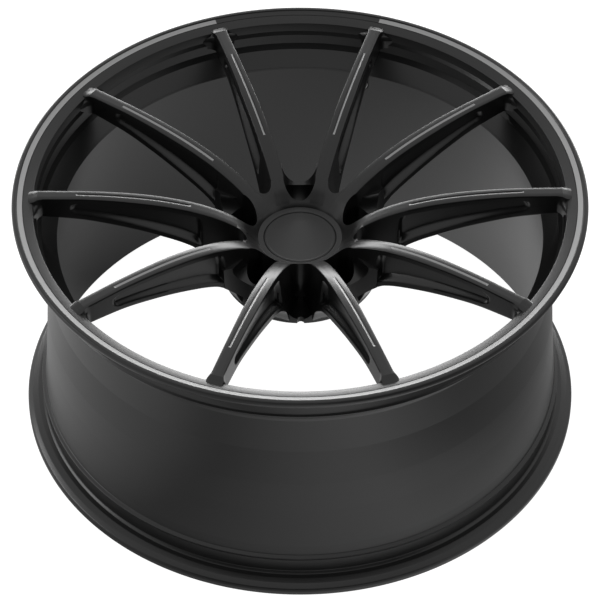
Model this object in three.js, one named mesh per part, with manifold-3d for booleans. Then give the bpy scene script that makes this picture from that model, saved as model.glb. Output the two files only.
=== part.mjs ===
// Forged racing wheel, 20 x 9.5: a ten-spoke face, its outer lip and the barrel,
// with a pull-out centre cap and a clamp-in tyre valve.
// Millimetres, +Z along the axis out of the face, resting on the inboard flange at z = 0.
import * as THREE from 'three';
import { mergeVertices } from 'three/addons/utils/BufferGeometryUtils.js';
import Module from 'manifold-3d';

const wasm = await Module();
wasm.setup();

// ---- driving dimensions ----
const gap = 0.3;                 // between pieces that touch
const rimR = 273.7;              // flange edge
const height = 268.5;            // overall width of the wheel
const faceZ = 266.9;             // level of the lip's widest circle
const beadSeatR = 256.4;         // 20 inch bead seat
const frontBeadZ = 255.2;        // front bead face
const backBeadZ = 13.9;          // back bead face, 9.5 inches from the front one
const seamZ = 221.9;             // joint of the lip and the barrel
const humpR = 258.3;
const wellR = 243.1;             // drop well, outside

const padZ = 167.1;              // mounting face that meets the car's hub
const padR = 75.8;
const padThickness = 17;
const pilotBoreR = 36.3;         // fits over the hub's pilot
const capBoreR = 32;
const capSeatR = 34.85;          // recess the cap's disc drops into
const capSeatDepth = 4;
const collarZ = 209.8;
const collarR = 40.2;
const crotchR = 57;              // where the two spokes of a pair part

const lugCount = 5;
const lugCircleR = 60;           // 5 x 120
const lugHoleR = 7.5;
const lugSeatR = 13;             // top of the 60 degree conical seat
const lugPocketR = 15.8;         // round pocket for the bolt's head
const lugSeatZ = padZ + 14;      // floor of the pocket
const webZ = 207;                // top of the wall outside each pocket
const firstLug = 18;             // degrees

const spokeSplitR = 78;          // where the spokes meet the hub
const spokeTipR = 255.5;
const spokeLean = 0.0125;        // sideways drift towards the pair's middle, per mm of radius
const spokeSpread = 260;         // radius where the ten spokes are evenly spaced
const pocketStart = 92;          // side pockets, from this radius
const pocketEnd = 219;
const pocketRamp = 9;            // length over which a pocket reaches its full depth
const webHalf = 3.4;             // half thickness left between two side pockets
const landLip = 6;               // height of the flange over a side pocket
const footLip = 6;               // height of the flange under it
const flareWidth = 4;            // how far each side widens into the lip

const valveZ = 207;
const valveAngle = 74.5;         // degrees, behind a spoke
const valveWallOut = 242.4;      // spot faces of the valve hole, as radii
const valveWallIn = 235.8;

const rimSegments = 60;
const hubSegments = 40;
const capSegments = 40;
const smallSegments = 16;

// ---- finishes ----
const finishes = {
  forging: { color: 0x35363a, roughness: 0.42, metalness: 0.75 },
  barrel: { color: 0x2e2f32, roughness: 0.46, metalness: 0.7 },
  cap: { color: 0x3b3c3f, roughness: 0.38, metalness: 0.3 },
  steel: { color: 0x8d9095, roughness: 0.35, metalness: 1 },
  brass: { color: 0x9a7b3c, roughness: 0.35, metalness: 1 },
  rubber: { color: 0x151515, roughness: 0.85, metalness: 0 },
};

const wheel = new THREE.Group();

function add(name, geometry, finish) {
  const mesh = new THREE.Mesh(geometry, new THREE.MeshStandardMaterial(finishes[finish]));
  mesh.name = name;
  wheel.add(mesh);
  return mesh;
}

// ---- solids ----
const radians = THREE.MathUtils.degToRad;
const lerp = THREE.MathUtils.lerp;
const clamp = THREE.MathUtils.clamp;

function bare(geometry) {
  const copy = geometry.clone();
  copy.deleteAttribute('normal');
  copy.deleteAttribute('uv');
  return mergeVertices(copy, 1e-4);
}

// Turns the faces outwards if the solid came out inside out.
function outward(geometry) {
  const solid = bare(geometry);
  const points = solid.attributes.position;
  const index = solid.index.array;
  const corner = [new THREE.Vector3(), new THREE.Vector3(), new THREE.Vector3()];
  let volume = 0;
  for (let i = 0; i < index.length; i += 3) {
    corner.forEach((point, k) => point.fromBufferAttribute(points, index[i + k]));
    volume += corner[0].dot(corner[1].clone().cross(corner[2]));
  }
  if (volume < 0) {
    for (let i = 0; i < index.length; i += 3) {
      const first = index[i];
      index[i] = index[i + 1];
      index[i + 1] = first;
    }
  }
  return solid;
}

function toManifold(geometry) {
  const solid = outward(geometry);
  return new wasm.Manifold(new wasm.Mesh({
    numProp: 3,
    vertProperties: new Float32Array(solid.attributes.position.array),
    triVerts: new Uint32Array(solid.index.array),
  }));
}

function toGeometry(manifold) {
  const mesh = manifold.getMesh();
  const geometry = new THREE.BufferGeometry();
  geometry.setAttribute('position', new THREE.BufferAttribute(mesh.vertProperties, 3));
  geometry.setIndex(new THREE.BufferAttribute(mesh.triVerts, 1));
  geometry.computeVertexNormals();
  return geometry;
}

function unite(parts) {
  return parts.slice(1).reduce((sum, part) => sum.add(part), parts[0]);
}

// A ring or disc turned about Z from a list of [radius, z].
function turned(profile, segments) {
  const points = profile.map(([r, z]) => new THREE.Vector2(r, z));
  if (profile[0][0] > 0) {
    points.push(points[0].clone());
  }
  const geometry = new THREE.LatheGeometry(points, segments, Math.PI / segments);
  geometry.rotateX(Math.PI / 2);
  return outward(geometry);
}

// A straight round cutter or post between two heights.
function post(radius, low, high, segments = 24) {
  return turned([[0, low], [radius, low], [radius, high], [0, high]], segments);
}

// A straight-sided slot with one round end, open towards +X.
function slot(radius, centre, outer, low, high) {
  const outline = new THREE.Shape();
  outline.moveTo(outer, -radius);
  outline.lineTo(outer, radius);
  outline.lineTo(centre, radius);
  outline.absarc(centre, 0, radius, Math.PI / 2, Math.PI * 1.5, false);
  const geometry = new THREE.ExtrudeGeometry(outline, { depth: high - low, bevelEnabled: false, curveSegments: 8 });
  geometry.translate(0, 0, low);
  return geometry;
}

function spun(geometry, degrees) {
  return geometry.clone().rotateZ(radians(degrees));
}

// ---- lip: flange, bead seat and the stepped face that the spokes run into ----
const lipProfile = [
  [235.7, seamZ],
  [247.7, seamZ],
  [257.6, 233.2],
  [humpR, 234],
  [256.9, 235.8],
  [beadSeatR, 237.5],
  [beadSeatR, 252.5],
  [258.5, frontBeadZ],
  [263, frontBeadZ],
  [268.5, 257],
  [272.5, 261],
  [rimR, 264],
  [rimR, 265.8],
  [272.9, height - 0.5],
  [271.8, height],
  [269.3, height],
  [268.5, 267.2],
  [263.7, 266.1],
  [253.2, 263.1],
  [250.9, 260.6],
  [252.4, 253.4],
  [248.9, 251.4],
  [249.6, 239.3],
  [245.5, 236],
];

// The same outline grown outwards by a distance, each corner along its own mitre.
function grown(profile, distance) {
  return profile.map(([r, z], i) => {
    const before = profile[(i + profile.length - 1) % profile.length];
    const after = profile[(i + 1) % profile.length];
    const into = new THREE.Vector2(r - before[0], z - before[1]).normalize();
    const away = new THREE.Vector2(after[0] - r, after[1] - z).normalize();
    const mitre = new THREE.Vector2(into.y + away.y, -into.x - away.x);
    const scale = (2 * distance) / mitre.lengthSq();
    return [r + mitre.x * scale, z + mitre.y * scale];
  });
}

add('outer_lip', turned(lipProfile, rimSegments), 'forging');

// ---- barrel: drop well, long cone, back bead seat and inboard flange ----
const barrelProfile = [
  [233, seamZ - gap],
  [247.7, seamZ - gap],
  [244.5, 217.5],
  [wellR, 212],
  [243.6, 171],
  [247.4, 130],
  [249.5, 95],
  [253.2, 48],
  [254.5, 37.5],
  [humpR, 35.4],
  [beadSeatR, 32],
  [beadSeatR, 16.6],
  [258.5, backBeadZ],
  [263, backBeadZ],
  [268.5, 12.1],
  [272.5, 8.6],
  [rimR, 6],
  [rimR, 2],
  [271.5, 0],
  [268.5, 0],
  [264, 5],
  [259, 8.4],
  [254.4, 9.5],
];

const valveHole = post(5.85, 200, 260, smallSegments);
const outerSpotFace = post(10, valveWallOut, 260, smallSegments);
const innerSpotFace = post(9.5, 215, valveWallIn, smallSegments);

// Lays a solid made about Z along the valve's axis, so that its heights become radii of the wheel.
function atValve(geometry) {
  return geometry.clone().rotateY(Math.PI / 2).rotateZ(radians(valveAngle)).translate(0, 0, valveZ);
}

const barrelSolid = toManifold(turned(barrelProfile, rimSegments))
  .subtract(toManifold(atValve(valveHole)))
  .subtract(toManifold(atValve(outerSpotFace)))
  .subtract(toManifold(atValve(innerSpotFace)));
add('barrel', toGeometry(barrelSolid), 'barrel');

// ---- spokes ----
// Level of the top land above the axis, by radius: steep out of the hub, flat at the lip.
const landCurve = new THREE.CatmullRomCurve3([
  [38, 210], [54.7, 227.2], [68.4, 237.3], [82, 244.5], [104, 252.9],
  [137, 260.7], [164, 264.4], [192, 266.6], [213, 267.4], [250, 267.4],
].map(([r, z]) => new THREE.Vector3(r, 0, z)));
const landPoints = landCurve.getPoints(120);

function levelOn(points, radius) {
  const next = Math.max(1, points.findIndex((point) => point.x >= radius));
  const before = points[next - 1];
  const share = (radius - before.x) / (points[next].x - before.x);
  return lerp(before.z, points[next].z, share);
}

function landZ(radius) {
  const facetStart = 249.6;
  const facetDrop = 0.55;        // the end facet falls this much per mm
  const drop = Math.max(0, radius - facetStart) * facetDrop;
  return levelOn(landPoints, Math.min(radius, facetStart)) - drop;
}

// Level of the underside: low over the mounting pad, then close under the land at the lip.
const undersidePoints = [
  [30, padZ + 3], [74, padZ + 3], [84, 190], [96, 203], [104, 209.5],
  [133, 222], [171, 233], [209, 240.5], [240, 244], [262, 246],
].map(([r, z]) => new THREE.Vector3(r, 0, z));

function undersideZ(radius) {
  return levelOn(undersidePoints, radius);
}

// Half section of a spoke at one radius: [across, z] from the land down to the underside.
function halfSection(radius) {
  const top = landZ(radius);
  const bottom = undersideZ(radius);
  const flare = clamp((radius - 246) / 9, 0, 1) * flareWidth;
  const land = lerp(6.8, 6, clamp((radius - 137) / 75, 0, 1)) + flare;
  const foot = land + lerp(4, 0.3, clamp((radius - 96) / 119, 0, 1));
  const entry = clamp((radius - pocketStart) / pocketRamp, 0, 1);
  const exit = clamp((pocketEnd - radius) / pocketRamp, 0, 1);
  const pocket = Math.min(entry, exit);
  const ceiling = top - landLip;
  const floor = Math.min(bottom + 12, ceiling - 3);
  const wallAt = (z) => lerp(foot, land, clamp((z - bottom) / (top - bottom), 0, 1));
  return [
    [land, top],
    [wallAt(ceiling), ceiling],
    [lerp(wallAt(ceiling - 1.5), webHalf, pocket), ceiling - 1.5],
    [lerp(wallAt(floor), webHalf, pocket), floor],
    [foot, bottom + footLip],
    [foot - 1, bottom],
  ];
}

// Joins half sections at a list of radii into one closed bar along +X, mirrored across.
function bar(stations, drift) {
  const positions = [];
  const index = [];
  const rings = stations.map((radius) => {
    const half = halfSection(radius);
    const side = drift * (spokeSpread - radius);
    const whole = [...half, ...half.slice().reverse().map(([t, z]) => [-t, z])];
    return whole.map(([t, z]) => [radius, t + side, z]);
  });
  rings.flat().forEach((point) => positions.push(...point));
  const count = rings[0].length;
  for (let s = 0; s < rings.length - 1; s += 1) {
    for (let k = 0; k < count; k += 1) {
      const a = s * count + k;
      const b = s * count + (k + 1) % count;
      index.push(a, b, a + count, b, b + count, a + count);
    }
  }
  const half = count / 2;
  for (const [first, flip] of [[0, true], [(rings.length - 1) * count, false]]) {
    for (let k = 0; k < half - 1; k += 1) {
      const a = first + k;
      const b = first + k + 1;
      const c = first + count - 1 - k;
      const d = first + count - 2 - k;
      index.push(...(flip ? [a, c, b, b, c, d] : [a, b, c, b, d, c]));
    }
  }
  const geometry = new THREE.BufferGeometry();
  geometry.setAttribute('position', new THREE.Float32BufferAttribute(positions, 3));
  geometry.setIndex(index);
  return outward(geometry);
}

const spokes = [];
for (let pair = 0; pair < lugCount; pair += 1) {
  const middle = firstLug + 36 + pair * 72;
  spokes.push({ angle: middle - 18, drift: spokeLean });
  spokes.push({ angle: middle + 18, drift: -spokeLean });
}
spokes.sort((a, b) => (a.angle % 360) - (b.angle % 360));

const rootStations = [38, 54.7, 62, 70, spokeSplitR - gap / 2];
const spokeStations = [
  spokeSplitR + gap / 2, 86, pocketStart, 104, 137, 164, 192, 210, pocketEnd, 236, 246, 249.6, spokeTipR,
];
const lipClearance = toManifold(turned(grown(lipProfile, gap), rimSegments));
spokes.forEach(({ angle, drift }, i) => {
  const solid = toManifold(spun(bar(spokeStations, drift), angle)).subtract(lipClearance);
  add(`spoke_${String(i + 1).padStart(2, '0')}`, toGeometry(solid), 'forging');
});

// ---- hub: boss with ten spoke roots and five bolt pockets, on a mounting pad ----
const padTop = padZ + padThickness;
const rootEndR = spokeSplitR - gap / 2;
const roots = unite(spokes.map(({ angle, drift }) => toManifold(spun(bar(rootStations, drift), angle))));

// Five copies of a cutter spread evenly from a first angle.
function five(geometry, first) {
  const copies = [];
  for (let i = 0; i < lugCount; i += 1) {
    copies.push(toManifold(spun(geometry, first + i * 72)));
  }
  return unite(copies);
}

const crotchCutR = 20;
const crotches = five(slot(crotchCutR, crotchR + crotchCutR, 100, padZ - 1, 290), firstLug + 36).subtract(roots);
const lugPockets = five(post(lugPocketR, lugSeatZ, 290).translate(lugCircleR, 0, 0), firstLug);
const lugSeatDrop = (lugSeatR - lugHoleR) * Math.sqrt(3);
const lugHoles = five(turned([
  [0, padZ - 1], [lugHoleR, padZ - 1], [lugHoleR, lugSeatZ - lugSeatDrop],
  [lugSeatR, lugSeatZ], [lugSeatR, lugSeatZ + 1], [0, lugSeatZ + 1],
], smallSegments).translate(lugCircleR, 0, 0), firstLug);

const bossProfile = [
  [capBoreR, padTop + gap],
  [rootEndR, padTop + gap],
  [rootEndR, webZ],
  [crotchR, webZ],
  [crotchR, 229],
  [collarR + 1, 212.2],
  [collarR, collarZ],
  [capSeatR, collarZ],
  [capSeatR, collarZ - capSeatDepth],
  [capBoreR, collarZ - capSeatDepth],
];
const overBoss = turned([
  [0, collarZ - capSeatDepth], [capSeatR, collarZ - capSeatDepth], [capSeatR, collarZ],
  [collarR, collarZ], [collarR + 1, 212.2], [collarR + 1, 290], [0, 290],
], hubSegments);
const boss = toManifold(turned(bossProfile, hubSegments))
  .add(roots)
  .subtract(toManifold(post(100, padZ - 1, padTop + gap)))
  .subtract(toManifold(post(capBoreR, padZ - 1, collarZ, hubSegments)))
  .subtract(toManifold(overBoss))
  .subtract(crotches)
  .subtract(lugPockets);
add('hub_centre', toGeometry(boss), 'forging');

const valleyR = 13;              // groove across the pad between the spokes of a pair
const valleyFloor = 6.2;         // metal left under it
const valley = post(valleyR, crotchR, 100).rotateY(Math.PI / 2).translate(0, 0, padZ + valleyFloor + valleyR);
const padNotch = post(3.5, padZ - 1, padTop + 1, 10).translate(padR, 0, 0);
const pad = toManifold(turned([[pilotBoreR, padZ], [padR, padZ], [padR, padTop], [pilotBoreR, padTop]], hubSegments))
  .subtract(lugPockets)
  .subtract(lugHoles)
  .subtract(five(valley, firstLug + 36))
  .subtract(five(padNotch, firstLug + 36));
add('mounting_pad', toGeometry(pad), 'forging');

// ---- centre cap: face disc on a plastic cup that a split wire ring holds in its bore ----
const capR = capSeatR - 0.4;
const cupTop = collarZ - 2.5;
const cupLow = collarZ - capSeatDepth + gap;
add('cap_face', turned([
  [0, cupTop + gap], [capR, cupTop + gap], [capR, collarZ - 0.7],
  [capR - 0.6, collarZ - 0.1], [0, collarZ - 0.1],
], capSegments), 'cap');
add('cap_body', turned([
  [0, cupLow], [29.4, cupLow], [29.4, 184], [31.4, 184], [31.4, 188.5], [30.2, 188.5],
  [30.2, 191.3], [31.4, 191.3], [31.4, cupLow], [capR, cupLow], [capR, cupTop], [0, cupTop],
], capSegments), 'cap');

class Arc3 extends THREE.Curve {
  constructor(radius, z, degrees) {
    super();
    Object.assign(this, { radius, z, sweep: radians(degrees) });
  }

  getPoint(t) {
    const angle = t * this.sweep;
    return new THREE.Vector3(this.radius * Math.cos(angle), this.radius * Math.sin(angle), this.z);
  }
}

class Helix extends THREE.Curve {
  constructor(radius, low, high, turns) {
    super();
    Object.assign(this, { radius, low, high, turns });
  }

  getPoint(t) {
    const angle = t * this.turns * Math.PI * 2;
    const z = lerp(this.low, this.high, t);
    return new THREE.Vector3(this.radius * Math.cos(angle), this.radius * Math.sin(angle), z);
  }
}

function wire(path, radius, steps) {
  const sides = 6;
  const outline = new THREE.Shape();
  for (let k = 0; k < sides; k += 1) {
    const angle = (k / sides) * Math.PI * 2;
    outline[k ? 'lineTo' : 'moveTo'](radius * Math.cos(angle), radius * Math.sin(angle));
  }
  return outward(new THREE.ExtrudeGeometry(outline, { steps, extrudePath: path, bevelEnabled: false }));
}

add('cap_retaining_ring', wire(new Arc3(31.05, 189.9, 336), 0.5, 48), 'steel');

// ---- tyre valve: clamped through the drop well, its stem pointing at the axle ----
// Heights here are radii of the wheel, which atValve lays along the valve's axis.
const gasketTop = valveWallOut + gap + 1.8;
const nutLow = 229.2;
const washerLow = valveWallIn - gap - 1.3;
const stemR = 5.4;
const tubeR = 3.9;
const boreR = 2.7;
const stemEnd = 206;
const shoulder = 236;            // step in the stem's bore that the spring stands on

add('valve_stem', atValve(turned([
  [1.5, 250], [6.8, 250], [8.2, 248.8], [8.2, gasketTop + gap], [stemR, gasketTop + gap],
  [stemR, 227.5], [tubeR, 226], [tubeR, stemEnd], [boreR, stemEnd], [boreR, shoulder], [1.5, shoulder],
], smallSegments)), 'brass');
add('valve_gasket', atValve(turned([
  [stemR + gap, valveWallOut + gap], [8.6, valveWallOut + gap], [8.6, gasketTop], [stemR + gap, gasketTop],
], smallSegments)), 'rubber');
add('valve_washer', atValve(turned([
  [stemR + gap, washerLow], [8.4, washerLow], [8.4, valveWallIn - gap], [stemR + gap, valveWallIn - gap],
], smallSegments)), 'steel');

const nutTop = washerLow - gap;
const hexagon = new THREE.CylinderGeometry(7.9, 7.9, nutTop - nutLow, 6).rotateX(Math.PI / 2);
hexagon.translate(0, 0, (nutTop + nutLow) / 2);
const nut = toManifold(hexagon).subtract(toManifold(post(stemR + gap, nutLow - 1, nutTop + 1, smallSegments)));
add('valve_nut', atValve(toGeometry(nut)), 'steel');

const coreTop = 214;             // tyre side of the screwed core
add('valve_core_body', atValve(turned([
  [1.1, stemEnd + 0.6], [2.4, stemEnd + 0.6], [2.4, coreTop], [1.1, coreTop],
], smallSegments)), 'brass');
add('valve_core_pin', atValve(turned([
  [0, stemEnd - 0.2], [0.7, stemEnd - 0.2], [0.7, coreTop + gap], [1.9, coreTop + gap],
  [1.9, coreTop + 2], [0.6, coreTop + 2.6], [0.6, shoulder - 4], [0, shoulder - 4],
], 12)), 'brass');
const springLow = coreTop + 4;
add('valve_core_spring', atValve(wire(
  new Helix(1.5, springLow + 0.3, shoulder - 0.6, 6), 0.25, 42,
)), 'steel');
add('valve_cap', atValve(turned([
  [0, stemEnd - 3.2], [4.4, stemEnd - 3.2], [5.3, stemEnd - 2.2], [5.3, stemEnd + 8],
  [tubeR + gap, stemEnd + 8], [tubeR + gap, stemEnd - 1.7], [0, stemEnd - 1.7],
], smallSegments)), 'cap');
add('valve_cap_seal', atValve(turned([
  [1.4, stemEnd - 1.4], [3.8, stemEnd - 1.4], [3.8, stemEnd - gap], [1.4, stemEnd - gap],
], smallSegments)), 'rubber');

export default wheel;
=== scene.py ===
import math
import bmesh
import bpy
import numpy as np
from mathutils import Matrix, Vector


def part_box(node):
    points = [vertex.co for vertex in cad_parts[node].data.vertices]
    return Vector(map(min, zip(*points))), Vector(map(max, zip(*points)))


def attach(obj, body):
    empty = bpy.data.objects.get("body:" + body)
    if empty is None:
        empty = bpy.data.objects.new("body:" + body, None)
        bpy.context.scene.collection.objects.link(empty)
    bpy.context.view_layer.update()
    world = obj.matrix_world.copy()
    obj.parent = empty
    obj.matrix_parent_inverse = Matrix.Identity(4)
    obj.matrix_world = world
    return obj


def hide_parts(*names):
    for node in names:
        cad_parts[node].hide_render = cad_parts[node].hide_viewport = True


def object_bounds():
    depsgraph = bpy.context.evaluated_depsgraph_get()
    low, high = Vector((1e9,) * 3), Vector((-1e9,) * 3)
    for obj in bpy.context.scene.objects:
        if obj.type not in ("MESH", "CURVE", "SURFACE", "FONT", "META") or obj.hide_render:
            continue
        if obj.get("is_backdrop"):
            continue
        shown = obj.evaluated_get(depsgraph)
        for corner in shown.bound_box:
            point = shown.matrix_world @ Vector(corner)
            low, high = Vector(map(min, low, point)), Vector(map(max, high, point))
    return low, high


# Forged racing wheel: the looks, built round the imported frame.
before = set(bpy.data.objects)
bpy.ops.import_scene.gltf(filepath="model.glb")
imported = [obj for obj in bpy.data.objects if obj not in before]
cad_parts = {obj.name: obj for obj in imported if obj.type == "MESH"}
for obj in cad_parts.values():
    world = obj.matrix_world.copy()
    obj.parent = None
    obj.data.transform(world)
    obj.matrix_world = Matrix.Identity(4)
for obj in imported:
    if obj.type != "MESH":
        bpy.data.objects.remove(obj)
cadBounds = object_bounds()
scene = bpy.context.scene
mm = 0.001
print("frame loaded")

# Levels taken from the frame, in millimetres.
rimLow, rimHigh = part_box("outer_lip")
padLow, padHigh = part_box("mounting_pad")
capLow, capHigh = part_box("cap_face")
faceLevel = rimHigh[2] / mm - 1.6    # the lip's crest stands 1.6 above its face
padLevel = padLow[2] / mm
padTopLevel = padHigh[2] / mm
collarLevel = capHigh[2] / mm + 0.1
seamLevel = rimLow[2] / mm           # where the lip meets the barrel

wheel = {
    "pairMiddles": [54 + 72 * i for i in range(5)],   # degrees
    "boltAngles": [18 + 72 * i for i in range(5)],
    "rimSegments": 360,
    "hubSegments": 160,
    "sharpAngle": 30,                # degrees between faces that makes a crisp edge
    "rimSharpAngle": 32,
}


def grey(level):
    return (level, level, level)


def setCamera():
    lens = {
        "focal": 186.34, "sensor": 36,       # millimetres
        "tilt": 44.712, "turn": -0.54,       # degrees
        "back": 2.1479, "up": 2.0257,        # metres from the middle of the face
        "farLimit": 60,
    }
    turn = math.radians(lens["turn"])
    data = bpy.data.cameras.new("camera")
    data.lens = lens["focal"]
    data.sensor_width = lens["sensor"]
    data.clip_end = lens["farLimit"]
    camera = bpy.data.objects.new("camera", data)
    scene.collection.objects.link(camera)
    back = Vector((math.sin(turn) * lens["back"], -math.cos(turn) * lens["back"], 0))
    camera.location = back + Vector((0, 0, faceLevel * mm + lens["up"]))
    camera.rotation_euler = (math.radians(lens["tilt"]), 0, turn)
    scene.camera = camera


def areaLight(name, where, target, width, height, power):
    data = bpy.data.lights.new(name, "AREA")
    data.shape = "RECTANGLE"
    data.size = width
    data.size_y = height
    data.energy = power
    light = bpy.data.objects.new(name, data)
    light.location = where
    aim = Vector(target) - Vector(where)
    light.rotation_euler = aim.to_track_quat("-Z", "Y").to_euler()
    scene.collection.objects.link(light)


def smoothRange(tree, source, before, after):
    step = tree.nodes.new("ShaderNodeMapRange")
    step.interpolation_type = "SMOOTHSTEP"
    step.inputs["From Min"].default_value = before[0]
    step.inputs["From Max"].default_value = before[1]
    step.inputs["To Min"].default_value = after[0]
    step.inputs["To Max"].default_value = after[1]
    tree.links.new(source, step.inputs["Value"])
    return step.outputs["Result"]


studio = {
    "backdrop": 1.0,                                 # what the camera sees behind the wheel
    "tent": 0.75, "dark": 0.03,                      # pale tent, and the dark band low in front of it
    "bandFront": (-0.45, -0.72), "bandTop": (0.66, 0.45),
    "floorSize": 16, "floorDrop": 0.0005, "floorColour": 0.25, "floorRoughness": 0.9,
    "floorGlow": [                                   # metres across, and the glow that the wheel reflects
        (-0.6, 0.38), (-0.3, 0.42), (-0.2, 0.12), (-0.05, 0.5), (0.05, 0.68), (0.15, 0.78),
        (0.25, 0.45), (0.32, 0.08), (0.6, 0.06),
    ],
    "lights": [                                      # name, place, target, width, height, watts
        ("backStrip", (0, 3.2, 0.72), (0, 0, 0.25), 4.6, 1.0, 112),
        ("leftStrip", (-3.0, 0.3, 0.5), (0, 0, 0.2), 2.2, 0.8, 22),
    ],
}


def cameraSees(tree, seen, reflected):
    # One level for what the camera sees straight on, another for light and reflections.
    path = tree.nodes.new("ShaderNodeLightPath")
    level = tree.nodes.new("ShaderNodeMix")
    level.inputs[3].default_value = seen
    tree.links.new(path.outputs["Is Camera Ray"], level.inputs[0])
    tree.links.new(reflected, level.inputs[2])
    return level.outputs[0]


def setWorld():
    world = bpy.data.worlds.new("studio")
    world.use_nodes = True
    tree = world.node_tree
    place = tree.nodes.new("ShaderNodeTexCoord")
    split = tree.nodes.new("ShaderNodeSeparateXYZ")
    tree.links.new(place.outputs["Generated"], split.inputs[0])
    ahead = smoothRange(tree, split.outputs["Y"], studio["bandFront"], (0, 1))
    low = smoothRange(tree, split.outputs["Z"], studio["bandTop"], (0, 1))
    both = tree.nodes.new("ShaderNodeMath")
    both.operation = "MULTIPLY"
    tree.links.new(ahead, both.inputs[0])
    tree.links.new(low, both.inputs[1])
    tent = smoothRange(tree, both.outputs[0], (0, 1), (studio["tent"], studio["dark"]))
    sky = tree.nodes["Background"]
    tree.links.new(cameraSees(tree, studio["backdrop"], tent), sky.inputs["Strength"])
    sky.inputs["Color"].default_value = (1, 1, 1, 1)
    scene.world = world
    scene.view_settings.view_transform = "Standard"


def glowAcross(tree):
    # The floor's glow as a ramp from left to right.
    glow = studio["floorGlow"]
    first, last = glow[0][0], glow[-1][0]
    where = tree.nodes.new("ShaderNodeTexCoord")
    across = tree.nodes.new("ShaderNodeSeparateXYZ")
    tree.links.new(where.outputs["Object"], across.inputs[0])
    reach = tree.nodes.new("ShaderNodeMapRange")
    reach.inputs["From Min"].default_value = first
    reach.inputs["From Max"].default_value = last
    tree.links.new(across.outputs["X"], reach.inputs["Value"])
    ramp = tree.nodes.new("ShaderNodeValToRGB")
    stops = ramp.color_ramp.elements
    stops[0].color = (*grey(glow[0][1]), 1)
    stops[-1].color = (*grey(glow[-1][1]), 1)
    for x, level in glow[1:-1]:
        stops.new((x - first) / (last - first)).color = (*grey(level), 1)
    tree.links.new(reach.outputs["Result"], ramp.inputs["Fac"])
    return ramp.outputs["Color"]


def setFloor():
    mesh = bpy.data.meshes.new("floor")
    half = studio["floorSize"] / 2
    corners = [(-half, -half, 0), (half, -half, 0), (half, half, 0), (-half, half, 0)]
    mesh.from_pydata(corners, [], [(0, 1, 2, 3)])
    floor = bpy.data.objects.new("floor", mesh)
    floor.location.z = -studio["floorDrop"]
    scene.collection.objects.link(floor)
    paint = bpy.data.materials.new("paleFloor")
    paint.use_nodes = True
    tree = paint.node_tree
    shader = tree.nodes["Principled BSDF"]
    shader.inputs["Base Color"].default_value = (*grey(studio["floorColour"]), 1)
    shader.inputs["Roughness"].default_value = studio["floorRoughness"]
    shader.inputs["Emission Color"].default_value = (1, 1, 1, 1)
    seen = cameraSees(tree, studio["backdrop"], glowAcross(tree))
    tree.links.new(seen, shader.inputs["Emission Strength"])
    mesh.materials.append(paint)
    floor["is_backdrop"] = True


def setStudio():
    setWorld()
    setFloor()
    for light in studio["lights"]:
        areaLight(*light)
    print("studio ready")


def newGroup(name, inputs, outputs):
    group = bpy.data.node_groups.new(name, "ShaderNodeTree")
    for label, kind, value in inputs:
        socket = group.interface.new_socket(name=label, in_out="INPUT", socket_type=kind)
        socket.default_value = value
    for label, kind in outputs:
        group.interface.new_socket(name=label, in_out="OUTPUT", socket_type=kind)
    return group


def link(tree, source, target):
    tree.links.new(source, target)


def grainGroup():
    # Fine powder-coat grain: a height for Bump, and slow patches that vary colour and gloss.
    group = newGroup(
        "coatGrain",
        [("Grain Size", "NodeSocketFloat", 900.0), ("Patch Size", "NodeSocketFloat", 9.0)],
        [("Height", "NodeSocketFloat"), ("Patch", "NodeSocketFloat")],
    )
    nodes = group.nodes
    entry = nodes.new("NodeGroupInput")
    leave = nodes.new("NodeGroupOutput")
    place = nodes.new("ShaderNodeTexCoord")
    grain = nodes.new("ShaderNodeTexNoise")
    grain.inputs["Detail"].default_value = 2
    link(group, place.outputs["Object"], grain.inputs["Vector"])
    link(group, entry.outputs["Grain Size"], grain.inputs["Scale"])
    patch = nodes.new("ShaderNodeTexNoise")
    patch.inputs["Detail"].default_value = 4
    link(group, place.outputs["Object"], patch.inputs["Vector"])
    link(group, entry.outputs["Patch Size"], patch.inputs["Scale"])
    link(group, grain.outputs["Fac"], leave.inputs["Height"])
    link(group, patch.outputs["Fac"], leave.inputs["Patch"])
    return group


def edgeHighlightGroup():
    # Painted edge highlight: a mask of how far a convex edge's rounded normal leaves the face's own normal,
    # used to lighten the colour where light would catch the rounding.
    group = newGroup(
        "paintedEdgeHighlight",
        [("Width", "NodeSocketFloat", 0.0008), ("Gain", "NodeSocketFloat", 2.0)],
        [("Mask", "NodeSocketFloat")],
    )
    nodes = group.nodes
    entry = nodes.new("NodeGroupInput")
    leave = nodes.new("NodeGroupOutput")
    bevel = nodes.new("ShaderNodeBevel")
    bevel.samples = 4
    link(group, entry.outputs["Width"], bevel.inputs["Radius"])
    place = nodes.new("ShaderNodeNewGeometry")
    dot = nodes.new("ShaderNodeVectorMath")
    dot.operation = "DOT_PRODUCT"
    link(group, bevel.outputs["Normal"], dot.inputs[0])
    link(group, place.outputs["Normal"], dot.inputs[1])
    away = nodes.new("ShaderNodeMath")
    away.operation = "SUBTRACT"
    away.inputs[0].default_value = 1
    link(group, dot.outputs["Value"], away.inputs[1])
    gain = nodes.new("ShaderNodeMath")
    gain.operation = "MULTIPLY"
    gain.use_clamp = True
    link(group, away.outputs["Value"], gain.inputs[0])
    link(group, entry.outputs["Gain"], gain.inputs[1])
    link(group, gain.outputs["Value"], leave.inputs["Mask"])
    return group


grain = grainGroup()
# Painted highlight along edges, shared by every finish.
edgeHighlight = edgeHighlightGroup()


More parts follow.
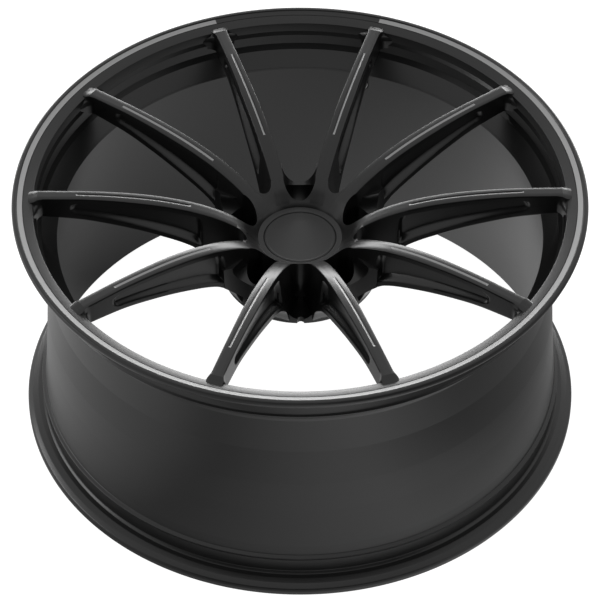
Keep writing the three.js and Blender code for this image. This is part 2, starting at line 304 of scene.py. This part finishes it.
def coated(name, dark, light, highlightColour, roughness, metallic, grainSize, bump, edgeHighlightGain):
    # A finish that varies between two colours, lightened along its edges by a painted highlight, with a fine
    # grain.
    material = bpy.data.materials.new(name)
    material.use_nodes = True
    tree = material.node_tree
    shader = tree.nodes["Principled BSDF"]
    shader.inputs["Specular IOR Level"].default_value = 0.5
    grainNode = tree.nodes.new("ShaderNodeGroup")
    grainNode.node_tree = grain
    grainNode.inputs["Grain Size"].default_value = grainSize
    edgeHighlightNode = tree.nodes.new("ShaderNodeGroup")
    edgeHighlightNode.node_tree = edgeHighlight
    edgeHighlightNode.inputs["Gain"].default_value = edgeHighlightGain
    blend = tree.nodes.new("ShaderNodeMix")
    blend.data_type = "RGBA"
    blend.inputs[6].default_value = (*dark, 1)
    blend.inputs[7].default_value = (*light, 1)
    link(tree, grainNode.outputs["Patch"], blend.inputs[0])
    # Painted highlight: a lighter colour along the edges, standing in for the light their rounding would
    # catch.
    edge = tree.nodes.new("ShaderNodeMix")
    edge.data_type = "RGBA"
    edge.inputs[7].default_value = (*highlightColour, 1)
    link(tree, edgeHighlightNode.outputs["Mask"], edge.inputs[0])
    link(tree, blend.outputs[2], edge.inputs[6])
    link(tree, edge.outputs[2], shader.inputs["Base Color"])
    gloss = tree.nodes.new("ShaderNodeMapRange")
    gloss.inputs["To Min"].default_value = roughness - 0.05
    gloss.inputs["To Max"].default_value = roughness + 0.05
    link(tree, grainNode.outputs["Patch"], gloss.inputs["Value"])
    link(tree, gloss.outputs["Result"], shader.inputs["Roughness"])
    shader.inputs["Metallic"].default_value = metallic
    bumpNode = tree.nodes.new("ShaderNodeBump")
    bumpNode.inputs["Strength"].default_value = bump
    bumpNode.inputs["Distance"].default_value = 0.0002
    link(tree, grainNode.outputs["Height"], bumpNode.inputs["Height"])
    link(tree, bumpNode.outputs["Normal"], shader.inputs["Normal"])
    return material


# name: darker and lighter colour, painted edge highlight colour, roughness, metallic, grain size, grain
# depth, edge highlight gain
finishes = {
    "faceBlack": (grey(0.005), grey(0.008), grey(0.03), 0.30, 0, 1400, 0.10, 1.0),
    "barrelBlack": (grey(0.005), grey(0.008), grey(0.025), 0.31, 0, 1200, 0.10, 0.8),
    "accentGrey": (grey(0.3), grey(0.35), grey(0.45), 0.4, 0.2, 1600, 0.08, 0.8),
    "capBlack": (grey(0.012), grey(0.016), grey(0.04), 0.5, 0, 2200, 0.05, 0.8),
    "zincSteel": (grey(0.4), grey(0.5), grey(0.7), 0.35, 1, 700, 0.1, 0.6),
    "turnedBrass": ((0.42, 0.3, 0.11), (0.5, 0.37, 0.15), (0.7, 0.55, 0.3), 0.34, 1, 900, 0.1, 0.6),
    "mouldedRubber": (grey(0.01), grey(0.014), grey(0.03), 0.8, 0, 600, 0.25, 0.5),
}
finish = {name: coated(name, *values) for name, values in finishes.items()}
faceBlack = finish["faceBlack"]
barrelBlack = finish["barrelBlack"]
accentGrey = finish["accentGrey"]
print("materials ready")


# Every helper below takes millimetres, and makes its object in metres.
def newMesh(name, points, faces, zones, materials):
    mesh = bpy.data.meshes.new(name)
    mesh.from_pydata([tuple(p) for p in np.asarray(points) * mm], [], faces)
    for material in materials:
        mesh.materials.append(material)
    if zones:
        mesh.polygons.foreach_set("material_index", zones)
    return mesh


def newObject(name, mesh):
    piece = bpy.data.objects.new(name, mesh)
    scene.collection.objects.link(piece)
    return piece


def finishMesh(mesh, sharpAngle):
    # Weld, turn every face outwards, and shade smooth but for the crisp edges.
    work = bmesh.new()
    work.from_mesh(mesh)
    bmesh.ops.remove_doubles(work, verts=work.verts, dist=1e-6)
    bmesh.ops.recalc_face_normals(work, faces=work.faces)
    limit = math.radians(sharpAngle)
    for edge in work.edges:
        edge.smooth = not (len(edge.link_faces) == 2 and edge.calc_face_angle(0) > limit)
    for face in work.faces:
        face.smooth = True
    work.to_mesh(mesh)
    work.free()


def turned(name, profile, segments, materials, zone=None):
    # A profile of (radius, height) turned about the axle: a ring, or a solid where it starts at 0.
    profile = np.array(profile, float)
    isRing = profile[0][0] > 1e-6
    count = len(profile)
    angles = np.arange(segments) * 2 * math.pi / segments
    rings = np.stack([
        np.outer(np.cos(angles), profile[:, 0]),
        np.outer(np.sin(angles), profile[:, 0]),
        np.tile(profile[:, 1], (segments, 1)),
    ], axis=2).reshape(-1, 3)
    faces = []
    zones = []
    for s in range(segments):
        after = (s + 1) % segments
        for k in range(count if isRing else count - 1):
            nextK = (k + 1) % count
            faces.append((s * count + k, after * count + k, after * count + nextK, s * count + nextK))
            zones.append(zone(k, math.degrees(angles[s])) if zone else 0)
    mesh = newMesh(name, rings, faces, zones, materials)
    weldAxis(mesh)
    finishMesh(mesh, wheel["rimSharpAngle"])
    return newObject(name, mesh)


def weldAxis(mesh):
    # The points on the axle come once for every segment: make them one.
    work = bmesh.new()
    work.from_mesh(mesh)
    bmesh.ops.remove_doubles(work, verts=work.verts, dist=1e-7)
    bmesh.ops.dissolve_degenerate(work, edges=work.edges, dist=1e-7)
    work.to_mesh(mesh)
    work.free()


def rounded(corners, steps=4):
    # A profile whose corners carry a third number, the radius they are rounded to.
    out = []
    count = len(corners)
    for i, corner in enumerate(corners):
        radius = corner[2] if len(corner) > 2 else 0
        here = Vector(corner[:2])
        if radius <= 0:
            out.append(tuple(here))
            continue
        before = Vector(corners[i - 1][:2]) - here
        after = Vector(corners[(i + 1) % count][:2]) - here
        turn = before.angle(after)
        reach = radius / math.tan(turn / 2)
        reach = min(reach, before.length * 0.48, after.length * 0.48)
        start = here + before.normalized() * reach
        end = here + after.normalized() * reach
        for s in range(steps + 1):
            t = s / steps
            point = start * (1 - t) ** 2 + here * 2 * t * (1 - t) + end * t ** 2
            out.append((point.x, point.y))
    return out


def cut(piece, *cutters):
    # Take each cutter out of the piece, then throw the cutter away.
    for cutter in cutters:
        step = piece.modifiers.new("cut", "BOOLEAN")
        step.operation = "DIFFERENCE"
        step.solver = "EXACT"
        step.object = cutter
        graph = bpy.context.evaluated_depsgraph_get()
        result = bpy.data.meshes.new_from_object(piece.evaluated_get(graph))
        piece.modifiers.clear()
        piece.data = result
        bpy.data.objects.remove(cutter)


def turnMatrix(degrees):
    return Matrix.Rotation(math.radians(degrees), 4, "Z")


outwards = Matrix.Rotation(math.pi / 2, 4, "Y")      # lays an upright cutter along a spoke's direction


def cylinder(radius, low, high, segments):
    return turned("cutter", [(0, low), (radius, low), (radius, high), (0, high)], segments, [faceBlack])


def standIn(piece, body, node):
    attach(piece, body)
    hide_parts(node)


lip = {
    "bandInner": 263.7, "bandOuter": 268.5,      # light band on the face, by radius
    "plainFrom": 72, "plainTo": 108,             # degrees left without the band
    "crest": 1.6,                                # the lip's highest ring above its face
}


def buildLip():
    top = faceLevel
    corners = [
        (234.4, seamLevel), (247.7, seamLevel, 1), (257.6, top - 33.7, 1.2), (258.3, top - 32.9, 0.8),
        (256.9, top - 31.1, 2), (256.4, top - 29.4), (256.4, top - 14.4, 3), (258.5, top - 11.7, 0.8),
        (263, top - 11.7, 4), (268.5, top - 9.9, 4), (272.5, top - 6, 3), (273.7, top - 2.9, 1.5),
        (273.7, top - 1.1, 1.2), (272.9, top + 1.1, 0.6), (271.8, top + lip["crest"], 0.5),
        (269.3, top + lip["crest"], 0.3), (268.5, top + 0.3, 0.2), (lip["bandInner"], top - 0.8),
        (263.3, top - 1.4, 0.15), (262.8, top - 1.1, 0.15), (253.7, top - 3.7, 0.7), (253.1, top - 13.1, 0.4),
        (251, top - 16.4, 0.4), (250.5, top - 26.6, 0.4), (247.3, top - 32, 0.6),
    ]
    profile = rounded(corners)
    after = profile[1:] + profile[:1]
    inBand = [
        lip["bandInner"] - 0.05 < (here[0] + there[0]) / 2 < lip["bandOuter"] - 0.1
        and min(here[1], there[1]) > top - 1
        for here, there in zip(profile, after)
    ]

    def zone(k, degrees):
        plain = lip["plainFrom"] <= degrees < lip["plainTo"]
        return 1 if inBand[k] and not plain else 0

    piece = turned("forged_lip", profile, wheel["rimSegments"], [faceBlack, accentGrey], zone)
    standIn(piece, "wheel", "outer_lip")


valve = {
    "angle": 74.5, "level": 207,                 # where the valve goes through the barrel
    "hole": 5.85,
    "landing": 10, "outside": 242.4, "inside": 235.8,    # flat landings for its head and its nut
}


def buildBarrel():
    top = seamLevel - 0.3
    corners = [
        (233.1, top - 1.3), (234.4, top), (247.7, top, 0.8), (244.5, 217.5, 3), (243.1, 212, 5),
        (243.6, 171, 10), (247.4, 130, 12), (249.5, 95, 10), (253.2, 48, 8), (254.5, 37.5, 1.5),
        (258.3, 35.4, 0.9), (256.4, 32, 1.5), (256.4, 16.6, 3), (258.5, 13.9, 0.8), (263, 13.9, 4),
        (268.5, 12.1, 4), (272.5, 8.6, 3), (273.7, 6, 2), (273.7, 2, 1.2), (271.5, 0, 1), (268.5, 0, 1.5),
        (264, 5, 3), (259, 8.4, 3), (254.4, 9.5, 1.2),
    ]
    piece = turned("spun_barrel", rounded(corners), wheel["rimSegments"], [barrelBlack])
    cutters = [
        cylinder(valve["hole"], 200, 260, 32),
        cylinder(valve["landing"], valve["outside"], 260, 32),
        cylinder(valve["landing"] - 0.5, 215, valve["inside"], 32),
    ]
    lift = Matrix.Translation((0, 0, valve["level"] * mm))
    for cutter in cutters:
        cutter.data.transform(lift @ turnMatrix(valve["angle"]) @ outwards)
    cut(piece, *cutters)
    finishMesh(piece.data, wheel["rimSharpAngle"])
    standIn(piece, "wheel", "barrel")
    print("rim ready")


spoke = {
    "web": 3.4,                                  # half width between the side pockets
    "pocketFrom": 93, "pocketTo": 219, "pocketCorner": 6.5, "pocketEnd": 4.5,
    "landLip": 6.0, "landLipSlope": 1.2,         # flange over the pocket
    "footLip": 6.2, "footSlope": 5.8,            # flange under it, and the slope from it up to the web
    "lineFrom": 104, "lineTo": 213, "lineDepth": 0.9,    # the light line along the land
    "bevel": 0.9,
    "lean": 0.0125, "spread": 260,               # the pair leans together towards the hub
    "facet": [(249.6, 267.4), (254.5, 265.6), (258.6, 264.5), (262, 263.6)],
    "endStations": [249.6, 251, 252.6, 254.5, 256.5, 258.6, 259.5],
    "tipFrom": 255, "tipLevel": 258,             # past this radius only the top runs on, inside the lip
    "flareWall": 251.5, "flareSize": 8, "flareLevel": 262,
    "land": [                                    # radius and level of the land, from the hub outwards
        (38, 209.4), (41, 211.3), (46, 217.2), (54.7, 227.2), (68.4, 237.3), (82, 244.5), (104, 252.9),
        (137, 260.7), (164, 264.4), (192, 266.6), (213, 267.4), (250, 267.4),
    ],
    "underside": [
        (38, padLevel + 3), (74, padLevel + 3), (84, 190), (96, 203), (104, 209.5), (133, 222),
        (171, 233), (209, 240.5), (240, 244), (262, 246),
    ],
    "landHalf": [(38, 6.8), (137, 6.8), (212, 6.0), (262, 6.0)],
    "footExtra": [(38, 4), (96, 4), (171, 1.5), (215, 0.3), (262, 0.3)],
}


def smoothCurve(points):
    # Monotone cubic through the points, as a function of radius.
    xs = np.array([p[0] for p in points], float)
    ys = np.array([p[1] for p in points], float)
    step = np.diff(xs)
    slope = np.diff(ys) / step
    tangent = np.zeros(len(xs))
    tangent[0] = slope[0]
    tangent[-1] = slope[-1]
    for i in range(1, len(xs) - 1):
        if slope[i - 1] * slope[i] > 0:
            a = 2 * step[i] + step[i - 1]
            b = step[i] + 2 * step[i - 1]
            tangent[i] = (a + b) / (a / slope[i - 1] + b / slope[i])

    def value(x):
        x = np.clip(x, xs[0], xs[-1])
        i = np.clip(np.searchsorted(xs, x) - 1, 0, len(xs) - 2)
        t = (x - xs[i]) / step[i]
        return ((2 * t ** 3 - 3 * t ** 2 + 1) * ys[i] + (t ** 3 - 2 * t ** 2 + t) * step[i] * tangent[i]
                + (3 * t ** 2 - 2 * t ** 3) * ys[i + 1] + (t ** 3 - t ** 2) * step[i] * tangent[i + 1])

    return value


landLevel = smoothCurve(spoke["land"])
underside = smoothCurve(spoke["underside"])
landHalf = smoothCurve(spoke["landHalf"])
footExtra = smoothCurve(spoke["footExtra"])


def ease(value):
    value = np.clip(value, 0, 1)
    return value * value * (3 - 2 * value)


def flare(radius, wall, size):
    # Concave fillet that widens a spoke as it runs into a wall.
    reach = np.clip((radius - (wall - size)) / size, 0, 1)
    return size * (1 - np.sqrt(1 - np.minimum(reach, 0.999) ** 2))


def spokeStations():
    # Radii of the cross sections: closest where the pockets and the line end.
    spans = [
        (43, 60, 1.5), (60, 90, 2), (90, 104, 0.8), (104, 208, 3), (208, 221, 0.8), (221, 240, 2.5),
        (240, spoke["endStations"][0] - 0.5, 1.0),
    ]
    stations = [radius for span in spans for radius in np.arange(*span)]
    return np.array(stations + spoke["endStations"])


def pocketDepth(radius, z, high, low):
    # 0 on the flanges, 1 on the web: steep above, a slope below, round corners at the ends.
    ends = min(radius - spoke["pocketFrom"], spoke["pocketTo"] - radius)
    corner = spoke["pocketCorner"]
    nearest = min(high - z, z - low)
    into = min(corner, max(0, corner - nearest))
    ends -= corner - math.sqrt(corner ** 2 - into ** 2)
    across = min(1, max(0, ends / spoke["pocketEnd"]))
    slope = max(0, min((high - z) / spoke["landLipSlope"], (z - low) / spoke["footSlope"]))
    inside = 1 - min(1, math.hypot(1 - across, 1 - min(1, slope)))
    return inside * 0.55 + ease(inside) * 0.45


def sideLevels(top, bottom, high, low, bevel):
    # Levels of a section's side from the land down to the underside.
    floorLevel = min(low + spoke["footSlope"], high - 2.2)
    levels = [top - bevel, top - 2.4]
    levels += [high + below for below in (0.5, 0, -0.25, -0.55, -0.9, -1.25)]
    levels += list(np.linspace(high - 2.0, floorLevel + 0.8, 5))
    levels += list(np.linspace(floorLevel, low, 9))
    levels += list(np.linspace(low - 1.2, bottom + 2.0, 3))
    return levels


def landAcross(half, top, bevel, deep):
    # Across the land from the side away from the pair's middle, over the sunk line, to the near side.
    return [
        (-(half - bevel), top), (-2.3, top), (-1.9, top), (-1.5, top - deep * 0.92), (-1.25, top - deep),
        (-0.2, top - deep * 0.55), (0.7, top - deep * 0.08), (1.0, top), (1.6, top), (half - bevel, top),
    ]


def spokeSection(radius):
    # One closed section, as (sideways, level) points.
    top = landLevel(radius)
    if radius > spoke["facet"][0][0]:
        top = np.interp(radius, *zip(*spoke["facet"]))
    bottom = underside(radius)
    high = top - spoke["landLip"]
    low = bottom + spoke["footLip"]
    half = landHalf(radius)
    foot = half + footExtra(radius)
    fillet = flare(radius, spoke["flareWall"], spoke["flareSize"])
    bevel = spoke["bevel"] * ease((radius - 50) / 8)
    groove = ease((radius - spoke["lineFrom"]) / 2.5) * ease((spoke["lineTo"] - radius) / 2.5)

    def widen(z):
        return fillet * float(np.clip((spoke["flareLevel"] - z) / 6, 0.1, 1))

    def side(z):
        wall = np.interp(z, [bottom, top], [foot, half])
        return wall + (spoke["web"] - wall) * pocketDepth(radius, z, high, low) + widen(z)

    half += widen(top)
    foot += widen(bottom)
    right = [(half - bevel * 0.35, top - bevel * 0.35)]
    right += [(side(z), z) for z in sideLevels(top, bottom, high, low, bevel)]
    right += [(foot - 0.1, bottom + 1.2), (foot - 0.5, bottom + 0.4), (foot - 1.3, bottom)]
    land = landAcross(half, top, bevel, spoke["lineDepth"] * groove)
    under = [(sideways, bottom) for sideways in (foot * 0.5, 0, -foot * 0.5)]
    left = [(-sideways, z) for sideways, z in reversed(right)]
    return land + right + under + left, top


def spokeRow(radius):
    # The section set in place: leaned to its pair, following the hub's cone, cut back inside the lip.
    section, top = spokeSection(radius)
    drift = spoke["lean"] * (spoke["spread"] - radius)
    lift = 1 - ease((radius - 52) / 14)
    row = []
    for sideways, z in section:
        if z > top - 3 and lift > 0:
            z += (landLevel(math.hypot(radius, sideways + drift)) - landLevel(radius)) * lift
        if radius > spoke["tipFrom"]:
            z = max(z, spoke["tipLevel"])
        row.append((radius, sideways + drift, z))
    return row


def buildSpokeMesh():
    stations = spokeStations()
    rows = [spokeRow(radius) for radius in stations]
    count = len(rows[0])
    verts = [point for row in rows for point in row]
    faces = []
    zones = []
    for s in range(len(rows) - 1):
        lit = spoke["lineFrom"] < (stations[s] + stations[s + 1]) / 2 < spoke["lineTo"]
        for k in range(count):
            n = (k + 1) % count
            faces.append((s * count + k, s * count + n, (s + 1) * count + n, (s + 1) * count + k))
            zones.append(1 if lit and k in (4, 5) else 0)    # the floor of the sunk line
    last = (len(rows) - 1) * count
    faces.append(tuple(range(count)))
    faces.append(tuple(range(last + count - 1, last - 1, -1)))
    zones += [0, 0]
    return verts, faces, zones


def sharpenFacet(mesh):
    # A crisp line across the land where its end facet starts and stops.
    creases = [radius for radius, level in spoke["facet"][:2]]
    for edge in mesh.edges:
        a, b = (mesh.vertices[i].co for i in edge.vertices)
        for radius in creases:
            onLine = abs(a.x / mm - radius) < 0.02 and abs(b.x / mm - radius) < 0.02
            if onLine and min(a.z, b.z) / mm > 262:
                edge.use_edge_sharp = True


bolts = {"circle": 60, "pocket": 15.8, "floor": padLevel + 14}


def pocketCutter(angle):
    # The deep round pocket over a wheel bolt.
    corners = [(0, bolts["floor"]), (bolts["pocket"], bolts["floor"], 1), (bolts["pocket"], 290), (0, 290)]
    cutter = turned("cutter", rounded(corners), 72, [faceBlack])
    cutter.data.transform(turnMatrix(angle) @ Matrix.Translation((bolts["circle"] * mm, 0, 0)))
    return cutter


def buildSpokes():
    # One model of the spoke on the low side of a pair, turned or mirrored into all ten.
    verts, faces, zones = buildSpokeMesh()
    mesh = newMesh("spokeModel", verts, faces, zones, [faceBlack, accentGrey])
    finishMesh(mesh, wheel["sharpAngle"])
    model = newObject("spokeModel", mesh)
    cut(model, pocketCutter(-18))
    finishMesh(model.data, wheel["sharpAngle"])
    sharpenFacet(model.data)
    angles = sorted((middle + side) % 360 for middle in wheel["pairMiddles"] for side in (-18, 18))
    for number, angle in enumerate(angles):
        mesh = model.data.copy()
        if (angle - 18) % 72 > 36:
            mesh.transform(Matrix.Scale(-1, 4, (0, 1, 0)))
            mesh.flip_normals()
        mesh.transform(turnMatrix(angle))
        piece = newObject(f"forged_spoke_{number + 1:02d}", mesh)
        standIn(piece, "wheel", f"spoke_{number + 1:02d}")
    bpy.data.objects.remove(model)
    print("spokes ready")


hub = {
    "capBore": 32, "capSeat": 34.85, "seatDepth": 4, "collar": 40.2,
    "padEdge": 74.6, "webOut": 96, "webTop": 226,        # webs round the bolt pockets
    "troughRadius": 17, "troughFloor": 207,              # hollow in the top of each web
    "boltWindow": (79, 19.8, 8.9, 0.33),                 # tip, tip radius, widening upwards, slope
    "pairWindow": (54, 7.5, 5, 0.36),
}


def buildHub():
    collar = collarLevel
    cone = [(r, landLevel(r) - 0.12) for r in (60, 57, 54, 50, 47, 44)]
    corners = [
        (hub["capBore"], padTopLevel), (hub["padEdge"], padTopLevel), (78.5, 185), (hub["webOut"], 203),
        (hub["webOut"], hub["webTop"]), (64, hub["webTop"]), (61, landLevel(61) - 0.4), *cone,
        (41.6, landLevel(41.6) + 0.2), (40.6, collar + 0.35, 0.4), (hub["collar"], collar - 0.05, 0.6),
        (hub["capSeat"] + 0.5, collar, 0.3), (hub["capSeat"], collar - 0.5),
        (hub["capSeat"], collar - hub["seatDepth"], 0.4), (hub["capBore"], collar - hub["seatDepth"], 0.4),
    ]
    piece = turned("forged_hub", rounded(corners, 3), wheel["hubSegments"], [faceBlack])
    lift = Matrix.Translation((0, 0, (hub["troughFloor"] + hub["troughRadius"]) * mm))
    for angle in wheel["boltAngles"]:
        trough = cylinder(hub["troughRadius"], 50, 110, 64)
        trough.data.transform(lift @ turnMatrix(angle) @ outwards)
        boltWindow = windowEnd(angle, *hub["boltWindow"])
        pairWindow = windowEnd(angle + 36, *hub["pairWindow"])
        cut(piece, pocketCutter(angle), trough, boltWindow, pairWindow)
    finishMesh(piece.data, wheel["sharpAngle"])
    standIn(piece, "wheel", "hub_centre")


def windowEnd(angle, tip, radius, grow, slope):
    # Upright cutter with a round inner end that widens outwards and upwards between two spokes.
    low, high, reach = padLevel + 2, 290, 130
    turns = np.linspace(-math.pi / 2 + slope, math.pi / 2 - slope, 25)

    def outline(size):
        centre = tip + size
        arc = [(centre - size * math.cos(a), size * math.sin(a)) for a in turns]
        spread = size + slope * (reach - centre)
        return arc + [(reach, spread), (reach, -spread)]

    lower = outline(radius)
    upper = outline(radius + grow)
    verts = [(x, y, low) for x, y in lower] + [(x, y, high) for x, y in upper]
    count = len(lower)
    faces = [(k, (k + 1) % count, count + (k + 1) % count, count + k) for k in range(count)]
    faces += [tuple(range(count))[::-1], tuple(range(count, 2 * count))]
    mesh = newMesh("cutter", verts, faces, [], [faceBlack])
    finishMesh(mesh, wheel["rimSharpAngle"])
    mesh.transform(turnMatrix(angle))
    return newObject("cutter", mesh)


pad = {
    "radius": 75.8, "bore": 36.3,
    "hole": 7.5, "seat": 13,                     # bolt hole, and the top of its 60 degree cone
    "valley": 13, "valleyLeft": 6.2,             # hollows between the lugs, and the metal under them
    "notch": 3.5,
}


def seatCutter(angle):
    floor = bolts["floor"]
    drop = (pad["seat"] - pad["hole"]) * math.sqrt(3)
    cutter = turned("cutter", [
        (0, padLevel - 2), (pad["hole"] + 1, padLevel - 2), (pad["hole"] + 1, padLevel - 0.01),
        (pad["hole"], padLevel + 1), (pad["hole"], floor - drop), (pad["seat"], floor),
        (pad["seat"], floor + 2), (0, floor + 2),
    ], 64, [faceBlack])
    cutter.data.transform(turnMatrix(angle) @ Matrix.Translation((bolts["circle"] * mm, 0, 0)))
    return cutter


def buildPad():
    top = padTopLevel + 0.2
    corners = [
        (pad["bore"], padLevel, 0.8), (pad["radius"], padLevel, 1.6),
        (pad["radius"], top, 1.5), (pad["bore"], top),
    ]
    piece = turned("forged_pad", rounded(corners), wheel["hubSegments"], [faceBlack])
    lift = Matrix.Translation((0, 0, (padLevel + pad["valleyLeft"] + pad["valley"]) * mm))
    for angle in wheel["boltAngles"]:
        between = turnMatrix(angle + 36)
        valley = cylinder(pad["valley"], 50, 110, 64)
        valley.data.transform(lift @ between @ outwards)
        notch = cylinder(pad["notch"], 150, 200, 32)
        notch.data.transform(between @ Matrix.Translation((pad["radius"] * mm, 0, 0)))
        cut(piece, pocketCutter(angle), seatCutter(angle), valley, notch)
    finishMesh(piece.data, wheel["sharpAngle"])
    standIn(piece, "wheel", "mounting_pad")
    print("hub ready")


cap = {"radius": 34.45, "rim": 1.6, "dishFrom": 2.6, "dish": 0.25}


def buildCap():
    low = capLow[2] / mm
    high = capHigh[2] / mm
    radius = cap["radius"]
    dish = high - cap["dish"]
    corners = [
        (0, low), (radius, low, 0.2), (radius, high - 0.4, 0.5), (radius - cap["rim"], high, 0.4),
        (radius - cap["dishFrom"], dish, 0.3), (radius - 4, dish), (6, dish), (0, dish),
    ]
    disc = turned("cap_disc", rounded(corners), wheel["hubSegments"], [finish["capBlack"]])
    standIn(disc, "centre_cap", "cap_face")
    print("cap ready")


# The pieces kept from the frame, and the finish each one takes.
keptPieces = {
    "cap_body": "capBlack", "cap_retaining_ring": "zincSteel", "valve_stem": "turnedBrass",
    "valve_gasket": "mouldedRubber", "valve_washer": "zincSteel", "valve_nut": "zincSteel",
    "valve_core_body": "turnedBrass", "valve_core_pin": "turnedBrass", "valve_core_spring": "zincSteel",
    "valve_cap": "capBlack", "valve_cap_seal": "mouldedRubber",
}


def dressKeptPieces():
    for node, name in keptPieces.items():
        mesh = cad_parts[node].data
        mesh.materials.clear()
        mesh.materials.append(finish[name])
    print("valve ready")


setCamera()
setStudio()
buildLip()
buildBarrel()
buildSpokes()
buildHub()
buildPad()
buildCap()
dressKeptPieces()

plain = lambda bounds: [[float(v) for v in corner] for corner in bounds]
{"cad": plain(cadBounds), "visual": plain(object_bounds())}
